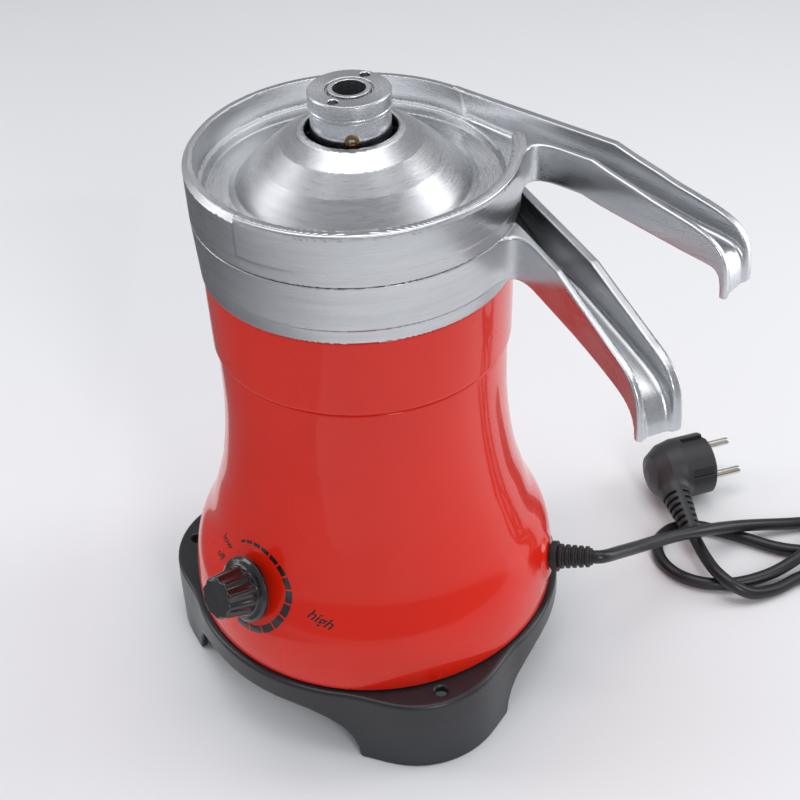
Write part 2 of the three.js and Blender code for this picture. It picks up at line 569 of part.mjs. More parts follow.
const PLUG_FACE = [202, 92, 18.7];   // middle of the face that the pins stand on
const PLUG_ANGLE = 15;
const PLUG_ROLL = 28;
const PIN_APART = 19.0;
const RELIEF_FROM = [176.5, 82.5, 19.0];
const RELIEF_TO = [182.9, 40.5, 13.0];
const pinOffsets = [PIN_APART / 2, -PIN_APART / 2];

function plugPlace(solid) {
  return solid.rotate([0, 90, 0]).rotate([PLUG_ROLL, 0, 0]).rotate([0, 0, PLUG_ANGLE]).translate(PLUG_FACE);
}
const plugCore = turned([
  [0, 0], [15.5, 0], [15.5, -1], [18.5, -1.5], [18.5, -20], [16.5, -29], [11.5, -37], [0, -38.5],
], 24).subtract(all(pinOffsets.map((y) => rod(2.7, -6, 2, 16).translate([0, y, 0]))));
const relief = turned([[0, 4], [9.5, 4], [8.4, 20], [6.2, 44], [4.4, 46], [0, 46]], 16)
  .subtract(rod(3.8, 39, 60, 12));
const reliefRun = new THREE.Vector3(...RELIEF_TO).sub(new THREE.Vector3(...RELIEF_FROM));
const reliefAngle = THREE.MathUtils.radToDeg(Math.atan2(reliefRun.y, reliefRun.x));
const reliefLift = THREE.MathUtils.radToDeg(Math.asin(reliefRun.z / reliefRun.length()));
const reliefPlaced = aim(relief, reliefAngle, reliefLift, RELIEF_FROM);
addSolid('plug_body', plugPlace(plugCore).add(reliefPlaced), MAT.cord);
pinOffsets.forEach((y, i) => {
  const pin = turned([[0, -5.5], [2.4, -5.5], [2.4, 18], [1.6, 19], [0, 19]], 16).translate([0, y, 0]);
  addSolid(`plug_pin_${i + 1}`, plugPlace(pin), MAT.nickel);
});

// the frame's origin lies under the middle of the machine's plan outline, on the floor
const ORIGIN = [30.0, -17.4];
group.children.forEach((mesh) => mesh.geometry.translate(-ORIGIN[0], -ORIGIN[1], 0));

export default group;
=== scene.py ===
# Looks of the electric milk cream separator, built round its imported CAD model.
# Shapes are worked out in millimetres with the spin axis at x = y = 0, then placed in the row frame.
import json
import math

import bpy
import numpy as np
import openvdb as vdb
from mathutils import Matrix, Vector

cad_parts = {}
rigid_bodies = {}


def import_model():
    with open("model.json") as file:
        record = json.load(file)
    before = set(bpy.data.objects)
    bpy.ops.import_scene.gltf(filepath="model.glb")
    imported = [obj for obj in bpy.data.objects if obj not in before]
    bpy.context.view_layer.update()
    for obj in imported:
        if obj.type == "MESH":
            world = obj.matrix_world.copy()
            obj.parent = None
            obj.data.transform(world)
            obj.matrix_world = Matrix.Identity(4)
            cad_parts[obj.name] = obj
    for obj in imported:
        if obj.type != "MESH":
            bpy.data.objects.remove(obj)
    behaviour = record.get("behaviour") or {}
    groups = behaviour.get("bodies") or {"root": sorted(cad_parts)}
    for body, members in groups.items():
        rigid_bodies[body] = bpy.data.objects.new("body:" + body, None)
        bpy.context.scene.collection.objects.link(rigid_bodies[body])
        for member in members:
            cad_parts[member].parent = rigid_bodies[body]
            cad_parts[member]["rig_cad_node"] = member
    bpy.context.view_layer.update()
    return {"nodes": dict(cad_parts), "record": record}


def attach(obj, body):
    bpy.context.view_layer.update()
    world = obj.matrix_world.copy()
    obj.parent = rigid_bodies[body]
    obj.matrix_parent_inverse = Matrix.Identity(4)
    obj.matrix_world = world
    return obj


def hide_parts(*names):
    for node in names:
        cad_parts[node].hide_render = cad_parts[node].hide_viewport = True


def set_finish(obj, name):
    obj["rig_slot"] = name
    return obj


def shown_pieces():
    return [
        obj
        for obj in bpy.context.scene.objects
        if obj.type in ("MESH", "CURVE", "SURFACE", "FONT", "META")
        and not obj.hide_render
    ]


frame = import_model()

ORIGIN = np.array([30.0, -17.4, 0.0])
MM = 0.001


def row(points):
    """Millimetres about the spin axis to metres in the row frame."""
    return (np.asarray(points, float) - ORIGIN) * MM


# ---------------------------------------------------------------- camera
CAMERA_AT = (-0.0300, -0.5695, 0.6123)
CAMERA_PITCH = 38.145
CAMERA_YAW = 1.623
CAMERA_ROLL = -2.218

camera = bpy.data.objects.new("camera", bpy.data.cameras.new("camera"))
bpy.context.scene.collection.objects.link(camera)
camera.data.lens = 67.5
camera.data.sensor_width = 36.0
camera.data.clip_start = 0.05
camera.data.clip_end = 20.0
turn = (
    Matrix.Rotation(math.radians(-CAMERA_YAW), 4, "Z")
    @ Matrix.Rotation(math.radians(90 - CAMERA_PITCH), 4, "X")
    @ Matrix.Rotation(math.radians(CAMERA_ROLL), 4, "Z")
)
camera.matrix_world = Matrix.Translation(CAMERA_AT) @ turn
bpy.context.scene.camera = camera
bpy.context.scene.view_settings.view_transform = "Standard"


# ---------------------------------------------------------------- helpers for meshes
def add_mesh(name, points, faces, body, slot, stands_for=(), normals=None):
    mesh = bpy.data.meshes.new(name)
    points = row(points).astype(np.float32)
    faces = np.asarray(faces, np.int32)
    mesh.vertices.add(len(points))
    mesh.vertices.foreach_set("co", points.ravel())
    mesh.loops.add(faces.size)
    mesh.loops.foreach_set("vertex_index", faces.ravel())
    mesh.polygons.add(len(faces))
    mesh.polygons.foreach_set("loop_start", np.arange(0, faces.size, faces.shape[1], dtype=np.int32))
    mesh.update(calc_edges=True)
    mesh.validate()
    mesh.polygons.foreach_set("use_smooth", np.ones(len(mesh.polygons), bool))
    if normals is not None:
        mesh.normals_split_custom_set_from_vertices(np.asarray(normals, float).tolist())
    piece = bpy.data.objects.new(name, mesh)
    bpy.context.scene.collection.objects.link(piece)
    if normals is None:
        weigh = piece.modifiers.new("weigh", "WEIGHTED_NORMAL")
        weigh.keep_sharp = False
        weigh.weight = 80
    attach(piece, body)
    if stands_for:
        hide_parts(*stands_for)
    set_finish(piece, slot)
    return piece


def rounded(outline, radius, steps=3, closed=True):
    """A [radius, height] outline with each corner turned into a small arc."""
    result = []
    count = len(outline)
    for i in range(count):
        here = np.array(outline[i], float)
        if not closed and i in (0, count - 1):
            result.append(here)
            continue
        before = np.array(outline[i - 1], float)
        after = np.array(outline[(i + 1) % count], float)
        a, b = before - here, after - here
        la, lb = np.linalg.norm(a), np.linalg.norm(b)
        a, b = a / la, b / lb
        reach = min(radius, 0.4 * la, 0.4 * lb)
        if abs(here[0]) < 1e-6 or np.dot(a, b) < -0.995:
            result.append(here)
            continue
        start, end = here + a * reach, here + b * reach
        for k in range(steps + 1):
            t = k / steps
            result.append((1 - t) ** 2 * start + 2 * t * (1 - t) * here + t ** 2 * end)
    return result


def aim_matrix(angle, lift, place):
    """Turns +Z to a plan angle and elevation in degrees, with the origin at a place."""
    turn = Matrix.Rotation(math.radians(angle), 4, "Z") @ Matrix.Rotation(math.radians(90 - lift), 4, "Y")
    return Matrix.Translation(place) @ turn


def moved(points, matrix):
    m = np.array(matrix, float)
    return np.asarray(points, float) @ m[:3, :3].T + m[:3, 3]


def lathe_mesh(outline, segments, closed=True):
    outline = np.array(outline, float)
    count = len(outline)
    angles = np.arange(segments) * 2 * math.pi / segments
    x = np.outer(np.cos(angles), outline[:, 0])
    y = np.outer(np.sin(angles), outline[:, 0])
    z = np.broadcast_to(outline[:, 1], x.shape)
    points = np.stack([x, y, z], -1).reshape(-1, 3)
    i = np.arange(segments)[:, None]
    j = np.arange(count if closed else count - 1)[None, :]
    nj, ni = (j + 1) % count, (i + 1) % segments
    faces = np.stack([i * count + j, ni * count + j, ni * count + nj, i * count + nj], -1).reshape(-1, 4)
    return points, faces


def lathe(name, outline, body, slot, stands_for=(), segments=160, bevel=0.4, matrix=None, closed=True):
    points, faces = lathe_mesh(rounded(outline, bevel, closed=closed), segments, closed)
    if matrix is not None:
        points = moved(points, matrix)
    return add_mesh(name, points, faces, body, slot, stands_for)


# ---------------------------------------------------------------- helpers for blended solids
def smooth_max(a, b, k):
    h = np.clip(0.5 - 0.5 * (b - a) / k, 0.0, 1.0)
    return b + (a - b) * h + k * h * (1 - h)


def smooth_min(a, b, k):
    return -smooth_max(-a, -b, k)


def outline_distance(px, py, outline):
    """Signed distance to a closed outline, below zero inside it."""
    best = np.full(np.broadcast(px, py).shape, 1e12)
    sign = np.ones(best.shape)
    count = len(outline)
    for i in range(count):
        ax, ay = outline[i]
        bx, by = outline[i - 1]
        ex, ey = bx - ax, by - ay
        wx, wy = px - ax, py - ay
        t = np.clip((wx * ex + wy * ey) / (ex * ex + ey * ey), 0.0, 1.0)
        dx, dy = wx - ex * t, wy - ey * t
        best = np.minimum(best, dx * dx + dy * dy)
        above, below, left = py >= ay, py < by, ex * wy > ey * wx
        flip = (above & below & left) | (~above & ~below & ~left)
        sign = np.where(flip, -sign, sign)
    return sign * np.sqrt(best)


class Outline:
    """A closed outline whose distance is looked up in a table for large arrays."""

    def __init__(self, points, step=0.25, margin=30.0):
        self.points = [tuple(map(float, p)) for p in points]
        arr = np.array(self.points)
        self.low = arr.min(0) - margin
        self.step = step
        size = np.ceil((arr.max(0) + margin - self.low) / step).astype(int) + 2
        a = self.low[0] + step * np.arange(size[0])[:, None]
        b = self.low[1] + step * np.arange(size[1])[None, :]
        self.table = outline_distance(a, b, self.points).astype(np.float32)

    def __call__(self, a, b):
        if np.broadcast(a, b).size < 400000:
            return outline_distance(a, b, self.points)
        u = np.clip((a - self.low[0]) / self.step, 0, self.table.shape[0] - 1.001).astype(np.float32)
        v = np.clip((b - self.low[1]) / self.step, 0, self.table.shape[1] - 1.001).astype(np.float32)
        i, j = u.astype(np.int32), v.astype(np.int32)
        fu, fv = u - i, v - j
        t = self.table
        low = t[i, j] * (1 - fu) + t[i + 1, j] * fu
        high = t[i, j + 1] * (1 - fu) + t[i + 1, j + 1] * fu
        return low * (1 - fv) + high * fv


def skin(field, low, high, step):
    """Points, faces and normals of the surface where field is zero, in the field's own axes."""
    axes = [low[k] + step * np.arange(int(math.ceil((high[k] - low[k]) / step)) + 1) for k in range(3)]
    x, y, z = axes[0][:, None, None], axes[1][None, :, None], axes[2][None, None, :]
    values = np.broadcast_to(field(x, y, z), [len(a) for a in axes]).astype(np.float32)
    grid = vdb.FloatGrid(float(values.max()))
    grid.copyFromArray(np.ascontiguousarray(values))
    points, quads = grid.convertToQuads()
    points = points.astype(float) * step + np.array(low, float)

    def slope(p):
        out = np.zeros_like(p)
        reach = 0.04
        for k in range(3):
            q, r = p.copy(), p.copy()
            q[:, k] += reach
            r[:, k] -= reach
            out[:, k] = (field(*q.T) - field(*r.T)) / (2 * reach)
        return out

    for _ in range(2):
        g = slope(points)
        size = np.maximum((g * g).sum(1), 0.2)
        shift = np.clip(field(*points.T) / size, -0.6 * step, 0.6 * step)
        points -= g * shift[:, None]
    g = slope(points)
    normals = g / np.maximum(np.linalg.norm(g, axis=1), 1e-6)[:, None]
    a, b, c = (points[quads[:, k]] for k in range(3))
    if (np.cross(b - a, c - a) * normals[quads[:, 0]]).sum(1).mean() < 0:
        quads = quads[:, ::-1]
    return points, quads, normals


def blended(name, field, low, high, step, body, slot, stands_for=(), matrix=None):
    """A piece whose skin is where the field is zero, looked for between two corners."""
    points, quads, normals = skin(field, low, high, step)
    if matrix is not None:
        points = moved(points, matrix)
        normals = normals @ np.array(matrix, float)[:3, :3].T
    return add_mesh(name, points, quads, body, slot, stands_for, normals)


# ---------------------------------------------------------------- cord
CORD_RADIUS = 3.5
CORD_FLOOR = 3.8
GLAND_REACH = 95.0
GLAND_ANGLE = -17.0
GLAND_TILT = 10.0
GLAND_HEIGHT = 64.5
GLAND_AT = (GLAND_REACH * math.cos(math.radians(GLAND_ANGLE)),
            GLAND_REACH * math.sin(math.radians(GLAND_ANGLE)), GLAND_HEIGHT)
COIL_CENTRE = (374.0, 62.0)
gland_matrix = aim_matrix(GLAND_ANGLE, GLAND_TILT, GLAND_AT)


def along(distance):
    """A point on the gland's axis, this far out from its seat."""
    return list(gland_matrix @ Vector((0, 0, distance)))


FROM_MACHINE = [
    along(-14), along(-2), along(12), along(20), along(26), [129.0, -32.0, 67.0], [141.5, -14.5, 56.0],
    [156.0, 5.0, 39.5], [172.0, 22.5, 27.0], [186.0, 31.5, 19.7], [200.0, 38.5, 14.0], [213.0, 43.5, 11.4],
    [226.5, 46.5, 7.5], [240.0, 48.0, 4.2], [252.0, 48.6, CORD_FLOOR], [270.0, 50.5, CORD_FLOOR],
    [290.0, 56.5, CORD_FLOOR], [309.0, 66.0, CORD_FLOOR], [324.0, 78.5, CORD_FLOOR],
    [332.0, 88.5, CORD_FLOOR],
]
TO_PLUG = [
    [343.5, 20.5, CORD_FLOOR], [327.0, 25.5, CORD_FLOOR], [310.0, 27.0, CORD_FLOOR],
    [290.0, 25.0, CORD_FLOOR], [266.0, 24.5, CORD_FLOOR], [244.0, 26.5, CORD_FLOOR],
    [230.0, 31.0, CORD_FLOOR], [216.0, 39.0, CORD_FLOOR], [202.0, 46.5, CORD_FLOOR],
    [188.0, 52.0, CORD_FLOOR], [174.0, 50.5, CORD_FLOOR], [164.5, 40.5, CORD_FLOOR],
    [163.5, 27.0, CORD_FLOOR], [170.0, 14.0, CORD_FLOOR], [182.0, 6.0, CORD_FLOOR],
    [196.0, 3.5, CORD_FLOOR], [209.0, 4.2, 4.6], [223.0, 7.0, 7.0], [236.0, 12.5, 10.0],
    [248.0, 21.0, 11.6], [261.0, 34.0, 11.8], [277.0, 46.0, 11.8], [296.0, 49.0, 11.8],
    [313.0, 40.0, 11.8], [319.0, 24.0, 11.8], [311.0, 9.0, 9.0], [294.0, 2.5, 5.2],
    [275.0, 5.5, CORD_FLOOR], [256.0, 10.5, CORD_FLOOR], [238.0, 5.0, CORD_FLOOR],
    [222.0, -3.0, CORD_FLOOR], [207.5, -6.5, 6.0], [197.0, -3.5, 10.6], [190.5, 5.5, 11.8],
    [187.2, 17.0, 11.2], [185.2, 27.0, 11.4], [183.5, 36.5, 12.4], [182.6, 42.4, 13.3],
]
COIL_START = 147.7                  # plan angle where the cord enters the coil, which winds clockwise
COIL_TURN = 994.0                   # degrees wound before the cord leaves it


def coil_point(wound):
    """Two turns side by side on the floor and the rest on top of them."""
    radius = np.interp(wound, [0, 22, 300, 360, 610, 700, 940, 965, 982, COIL_TURN],
                       [49.7, 43.7, 43.7, 36.4, 36.4, 40.0, 40.0, 43.8, 48.9, 51.5])
    height = np.interp(wound, [0, 600, 665, 730, 770, 920, 945, 965, 980, COIL_TURN],
                       [CORD_FLOOR, CORD_FLOOR, 11.0, 11.0, 10.0, 10.0, 11.1, 11.1, 8.6, CORD_FLOOR])
    angle = math.radians(COIL_START - wound)
    return [COIL_CENTRE[0] + radius * math.cos(angle), COIL_CENTRE[1] + radius * math.sin(angle), height]


coil_route = [coil_point(w) for w in range(18, 980, 15)]
cord_route = FROM_MACHINE + coil_route + TO_PLUG


def through(points, spacing):
    """A smooth line through points, as closely spaced points."""
    p = np.array(points, float)
    p = np.vstack([2 * p[0] - p[1], p, 2 * p[-1] - p[-2]])
    result = []
    for i in range(1, len(p) - 2):
        t0, t1, t2, t3 = np.cumsum([0] + [np.linalg.norm(p[i + k] - p[i + k - 1]) ** 0.5 for k in range(3)])
        steps = max(2, int(round(np.linalg.norm(p[i + 1] - p[i]) / spacing)))
        for t in np.linspace(t1, t2, steps, endpoint=False):
            a1 = (t1 - t) / (t1 - t0) * p[i - 1] + (t - t0) / (t1 - t0) * p[i]
            a2 = (t2 - t) / (t2 - t1) * p[i] + (t - t1) / (t2 - t1) * p[i + 1]
            a3 = (t3 - t) / (t3 - t2) * p[i + 1] + (t - t2) / (t3 - t2) * p[i + 2]
            b1 = (t2 - t) / (t2 - t0) * a1 + (t - t0) / (t2 - t0) * a2
            b2 = (t3 - t) / (t3 - t1) * a2 + (t - t1) / (t3 - t1) * a3
            result.append((t2 - t) / (t2 - t1) * b1 + (t - t1) / (t2 - t1) * b2)
    result.append(p[-2])
    return np.array(result)


def eased(points, first, last, rounds):
    """The same points, with those between two places drawn towards their neighbours."""
    p = np.array(points, float)
    for _ in range(rounds):
        p[first:last] = 0.25 * p[first - 1:last - 1] + 0.5 * p[first:last] + 0.25 * p[first + 1:last + 1]
    return p


FREE_SPAN = (5, 15)                 # the route's points that hang between the gland and the floor
CORD_STEP = 3.0
cord_line = through(eased(cord_route, *FREE_SPAN, rounds=3), CORD_STEP)
cord_curve = bpy.data.curves.new("mains_cord", "CURVE")
cord_curve.dimensions = "3D"
cord_curve.bevel_depth = CORD_RADIUS * MM
cord_curve.bevel_resolution = 6
cord_curve.use_fill_caps = True
spline = cord_curve.splines.new("POLY")
spline.points.add(len(cord_line) - 1)
spline.points.foreach_set("co", np.hstack([row(cord_line), np.ones((len(cord_line), 1))]).ravel())
spline.use_smooth = True
cord_form = bpy.data.objects.new("cord_form", cord_curve)
bpy.context.scene.collection.objects.link(cord_form)
bpy.context.view_layer.update()
cord_mesh = bpy.data.meshes.new_from_object(cord_form.evaluated_get(bpy.context.evaluated_depsgraph_get()))
bpy.data.objects.remove(cord_form)
mains_cord = bpy.data.objects.new("mains_cord", cord_mesh)
bpy.context.scene.collection.objects.link(mains_cord)
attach(mains_cord, "housing")
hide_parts("power_cord_machine_side", "power_cord_plug_side", "power_cord_coil")
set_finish(mains_cord, "cord_pvc")

# tie round the coil: a flat strap in the plane through the coil's axis
TIE_ANGLE = math.radians(60)
TIE_SIDES = 40
TIE_AT = (40.0, 7.4)                # distance from the coil's axis, and height
TIE_REACH = (7.5, 6.9)
tie_points = []
tie_faces = []
for i in range(TIE_SIDES):
    a = 2 * math.pi * i / TIE_SIDES
    across = math.copysign(abs(math.cos(a)) ** 0.6, math.cos(a))
    up = math.copysign(abs(math.sin(a)) ** 0.6, math.sin(a))
    for reach, side in ((0.0, -2.5), (0.0, 2.5), (0.5, 2.2), (0.5, -2.2)):
        radius = TIE_AT[0] + (TIE_REACH[0] + reach) * across
        height = TIE_AT[1] + (TIE_REACH[1] + reach * 0.6) * up
        x = radius * math.cos(TIE_ANGLE) - side * math.sin(TIE_ANGLE)
        y = radius * math.sin(TIE_ANGLE) + side * math.cos(TIE_ANGLE)
        tie_points.append([COIL_CENTRE[0] + x, COIL_CENTRE[1] + y, height])
    for k in range(4):
        n = (i + 1) % TIE_SIDES
        tie_faces.append([i * 4 + k, i * 4 + (k + 1) % 4, n * 4 + (k + 1) % 4, n * 4 + k])
cord_tie = add_mesh("cord_tie", tie_points, tie_faces, "housing", "black_rubber")


# ---------------------------------------------------------------- gland, plug and pins
gland_outline = [[3.6, -12.0], [6.1, -12.0], [6.1, 1.2], [8.0, 1.2], [8.0, 4.4], [6.0, 4.4]]
RIB_COUNT = 5
for i in range(RIB_COUNT):
    z = 5.2 + i * 3.4
    outer, inner = 6.5 - i * 0.25, 5.3 - i * 0.24
    gland_outline += [[inner, z - 0.2], [outer, z], [outer, z + 1.8], [inner, z + 2.0]]
gland_outline += [[4.6, 22.0], [3.6, 22.3]]
lathe("strain_relief", gland_outline, "housing", "black_rubber", ["cord_gland"], 64, 0.35,
      gland_matrix)

PLUG_FACE = (202.0, 92.0, 18.7)
PIN_PLACES = (9.5, -9.5)
plug_matrix = (
    Matrix.Translation(PLUG_FACE)
    @ Matrix.Rotation(math.radians(15), 4, "Z")
    @ Matrix.Rotation(math.radians(28), 4, "X")
    @ Matrix.Rotation(math.radians(90), 4, "Y")
)
plug_inverse = plug_matrix.inverted()
relief_from = np.array(plug_inverse @ Vector((176.5, 82.5, 19.0)))
relief_to = np.array(plug_inverse @ Vector((182.9, 40.5, 13.0)))
relief_run = relief_to - relief_from
relief_length = float(np.linalg.norm(relief_run))
relief_run = relief_run / relief_length
plug_up = np.array((plug_inverse.to_3x3() @ Vector((0, 0, 1))))
relief_side = np.cross(relief_run, plug_up)
relief_side /= np.linalg.norm(relief_side)
relief_top = np.cross(relief_side, relief_run)
plug_outline = Outline([
    [-30, 0], [15.4, 0], [15.8, -1.2], [18.4, -1.8], [18.4, -20], [16.6, -28.5], [11.5, -36], [4, -38.4],
    [-30, -38.4],
])
GROOVES = (math.radians(38), math.radians(142), math.radians(-38), math.radians(-142))


def plug_field(x, y, z):
    """The plug in its own axes: the pins run along +Z and the strain relief leaves from its side."""
    r = np.sqrt(x * x + y * y)
    core = plug_outline(r, z)
    for a in GROOVES:
        out = x * math.cos(a) + y * math.sin(a)
        side = -x * math.sin(a) + y * math.cos(a)
        groove = np.maximum(np.maximum(np.abs(side) - 2.3, 15.6 - out), -16.5 - z)
        core = smooth_max(core, -groove, 0.6)
    px, py, pz = x - relief_from[0], y - relief_from[1], z - relief_from[2]
    run = px * relief_run[0] + py * relief_run[1] + pz * relief_run[2]
    side = px * relief_side[0] + py * relief_side[1] + pz * relief_side[2]
    top = px * relief_top[0] + py * relief_top[1] + pz * relief_top[2]
    away = np.sqrt(side * side + top * top)
    radius = 9.6 - np.clip(run - 10, 0, 34) * 0.125
    relief = smooth_max(np.maximum(away - radius, run - 45.6), -run - 4, 1.5)
    slot = np.abs(((run - 18.2) % 4.2) - 2.1) - 0.75
    slot = np.maximum(slot, np.maximum(17.5 - run, run - 42.5))
    slot = np.maximum(slot, radius - 2.0 - away)
    slot = np.maximum(slot, 2.2 - np.abs(side))
    relief = smooth_max(relief, -slot, 0.5)
    body = smooth_min(core, relief, 5.0)
    for place in PIN_PLACES:
        hole = np.maximum(np.sqrt(x * x + (y - place) ** 2) - 2.5, -4 - z)
        body = np.maximum(body, -hole)
    return body


reach_low = np.minimum([-20, -20, -42], relief_to - 14)
reach_high = np.maximum([20, 20, 2], relief_to + 14)
mains_plug = blended("mains_plug", plug_field, reach_low, reach_high, 0.55, "housing", "cord_pvc",
                     ["plug_body"], plug_matrix)
pin_outline = [[0, -4], [2.35, -4], [2.35, 17.6], [2.2, 18.3], [1.5, 18.9], [0, 19.0]]
for i, place in enumerate(PIN_PLACES):
    pin_matrix = plug_matrix @ Matrix.Translation((0, place, 0))
    lathe(f"contact_pin_{i + 1}", pin_outline, "housing", "nickel", [f"plug_pin_{i + 1}"],
                      40, 0.3, pin_matrix, closed=False)


# ---------------------------------------------------------------- bell housing
HOUSING_PROFILE = [
    [94.6, 44.6], [94.9, 52], [94.2, 60], [93.3, 67], [91.4, 75], [88.0, 82], [83.8, 90], [81.2, 97.5],
    [79.0, 105], [74.8, 120], [71.5, 140], [69.7, 160], [69.3, 180], [69.5, 197],
]
BELL_FOOT = HOUSING_PROFILE[0][1]
BELL_STEP = HOUSING_PROFILE[-1][1]
BELL_WALL = 2.4
profile_r, profile_z = through(HOUSING_PROFILE, 1.5).T


def bell_radius(z):
    """Outer radius of the housing below its step, a smooth line through the profile."""
    z = np.asarray(z, float)
    total = np.zeros_like(z)
    for shift in np.linspace(-5, 5, 11):
        total += np.interp(np.clip(z + shift, BELL_FOOT, BELL_STEP), profile_z, profile_r)
    return total / 11


gland_direction = np.array(gland_matrix.to_3x3() @ Vector((0, 0, 1)))


def gland_boss(x, y, z):
    """How far the raised seat of the cord gland stands proud of the bell."""
    px, py, pz = x - GLAND_AT[0], y - GLAND_AT[1], z - GLAND_AT[2]
    run = px * gland_direction[0] + py * gland_direction[1] + pz * gland_direction[2]
    away = np.sqrt(np.maximum(px * px + py * py + pz * pz - run * run, 0))
    t = np.clip((13.5 - away) / 4.5, 0, 1)
    return 1.5 * t * t * (3 - 2 * t)


outer_z = np.linspace(BELL_FOOT, BELL_STEP, 190)
shell = [[93.2, 44.9], [93.8, 44.6]] + [[float(bell_radius(z)), float(z)] for z in outer_z[1:]]
shell += [[69.2, 197.4], [68.7, 197.7], [68.4, 198.1], [68.5, 198.5], [69.1, 198.8], [70.3, 199.0],
          [70.9, 199.4], [71.15, 200.0], [71.2, 201.0]]
shell += [[71.2 + 0.6 * (z - 201) / 37, z] for z in np.linspace(203, 238, 30)]
shell += [[71.75, 238.6], [71.4, 238.95], [70.9, 239.0], [69.8, 239.0], [69.4, 238.7], [69.4, 234.5]]
shell += [[67.1, 198.4], [66.97, 186.7], [64.0, 186.7], [64.0, 183.5], [66.9, 182.0]]
shell += [[float(bell_radius(z)) - BELL_WALL, float(z)] for z in np.linspace(178, 46, 30)]
shell_points, shell_faces = lathe_mesh(shell, 384)
radial = np.hypot(shell_points[:, 0], shell_points[:, 1])
outside = radial > bell_radius(np.minimum(shell_points[:, 2], BELL_STEP)) - 0.5
rise = np.where(outside, gland_boss(*shell_points.T), 0.0)
shell_points[:, :2] *= (1 + rise / np.maximum(radial, 1))[:, None]
add_mesh("housing_shell", shell_points, shell_faces, "housing", "red_enamel", ["bell_housing"])

# speed scale printed round the knob
KNOB_ANGLE = -139.0
KNOB_TILT = 19.0
KNOB_AT = (-62.5, -61.0, 87.5)
knob_matrix = aim_matrix(KNOB_ANGLE, KNOB_TILT, KNOB_AT)
knob_out = np.array(knob_matrix.to_3x3() @ Vector((0, 0, 1)))
knob_right = np.cross([0, 0, 1], knob_out)
knob_right /= np.linalg.norm(knob_right)
knob_up = np.cross(knob_out, knob_right)


def onto_bell(across, up, proud=0.07):
    """Places points of the knob's plane on the bell, slightly proud of it."""
    start = np.array(KNOB_AT) + np.outer(across, knob_right) + np.outer(up, knob_up)
    low, high = np.full(len(start), -45.0), np.full(len(start), 30.0)
    for _ in range(40):
        mid = (low + high) / 2
        p = start + mid[:, None] * knob_out
        inside = np.hypot(p[:, 0], p[:, 1]) < bell_radius(p[:, 2])
        low, high = np.where(inside, mid, low), np.where(inside, high, mid)
    return start + ((low + high) / 2 + proud)[:, None] * knob_out


SCALE_OUTER = 23.6
SCALE_FROM = 128.0                  # clock face angles, anticlockwise from the right hand side
MARKS = 13
MARK_STEPS = 8
MARK_ROWS = 5
mark_points, mark_faces = [], []
angle = SCALE_FROM
for i in range(MARKS):
    share = i / (MARKS - 1)
    sweep = 9.5 + 11.5 * share
    inner = SCALE_OUTER - (1.3 + 2.7 * min(1.0, share * 1.5))
    start = len(mark_points)
    for k in range(MARK_STEPS + 1):
        a = math.radians(angle - sweep * k / MARK_STEPS)
        for q in np.linspace(inner, SCALE_OUTER, MARK_ROWS):
            mark_points.append([q * math.cos(a), q * math.sin(a)])
    for k in range(MARK_STEPS):
        for m in range(MARK_ROWS - 1):
            base = start + k * MARK_ROWS + m
            mark_faces.append([base, base + 1, base + MARK_ROWS + 1, base + MARK_ROWS])
    angle -= sweep + 3.0 - 0.8 * share
mark_points = np.array(mark_points)
add_mesh("speed_scale", onto_bell(mark_points[:, 0], mark_points[:, 1]), mark_faces, "housing",
         "bakelite")


def words(name, text, size, across, up, tilt):
    """A short word laid on the bell in the knob's plane."""
    font = bpy.data.curves.new(name, "FONT")
    font.body = text
    font.size = size
    font.shear = 0.25
    font.offset = 0.012 * size
    font.align_x = "CENTER"
    holder = bpy.data.objects.new(name + "_text", font)
    bpy.context.scene.collection.objects.link(holder)
    bpy.context.view_layer.update()
    made = bpy.data.meshes.new_from_object(holder.evaluated_get(bpy.context.evaluated_depsgraph_get()))
    bpy.data.objects.remove(holder)
    flat = np.array([v.co for v in made.vertices])
    made.calc_loop_triangles()
    faces = [list(t.vertices) for t in made.loop_triangles]
    c, s = math.cos(math.radians(tilt)), math.sin(math.radians(tilt))
    return add_mesh(name, onto_bell(across + flat[:, 0] * c - flat[:, 1] * s,
                                    up + flat[:, 0] * s + flat[:, 1] * c), faces, "housing", "bakelite")


words("scale_word_low", "low", 6.2, -26.5, 9.0, -12)
words("scale_word_off", "off", 5.8, -29.5, -0.5, -10)
words("scale_word_high", "high", 7.5, 38.0, -1.5, -12)


# ---------------------------------------------------------------- knob
knob_side = Outline([
    [-20, 1.2], [15.8, 1.2], [16.5, 1.9], [16.5, 3.6], [15.2, 4.6], [12.0, 5.4], [-20, 5.6],
], margin=12)
grip_side = Outline([
    [-20, 4.0], [12.5, 4.0], [12.3, 6.5], [10.6, 20.4], [10.0, 21.1], [8.6, 21.4], [-20, 21.4],
], margin=12)
FLUTES = 10


def knob_field(x, y, z):
    """A skirt with a fluted, tapered grip that has a shallow dish in its end."""
    r = np.sqrt(x * x + y * y)
    a = np.arctan2(y, x)
    cell = 2 * math.pi / FLUTES
    a = (a + cell / 2) % cell - cell / 2
    fx, fy = r * np.cos(a), r * np.sin(a)
    grip = grip_side(r, z)
    flute = np.sqrt((fx - 14.6 + (z - 5.8) * 0.09) ** 2 + fy ** 2) - 3.7
    flute = np.maximum(flute, 5.9 - z)
    grip = smooth_max(grip, -flute, 0.7)
    dish = np.sqrt(r * r + (z - 41.5) ** 2) - 20.6
    grip = smooth_max(grip, -dish, 0.5)
    return smooth_min(knob_side(r, z), grip, 0.8)


blended("control_knob", knob_field, (-17.5, -17.5, 0.4), (17.5, 17.5, 22.2), 0.35, "knob",
        "bakelite", ["speed_knob"], knob_matrix)


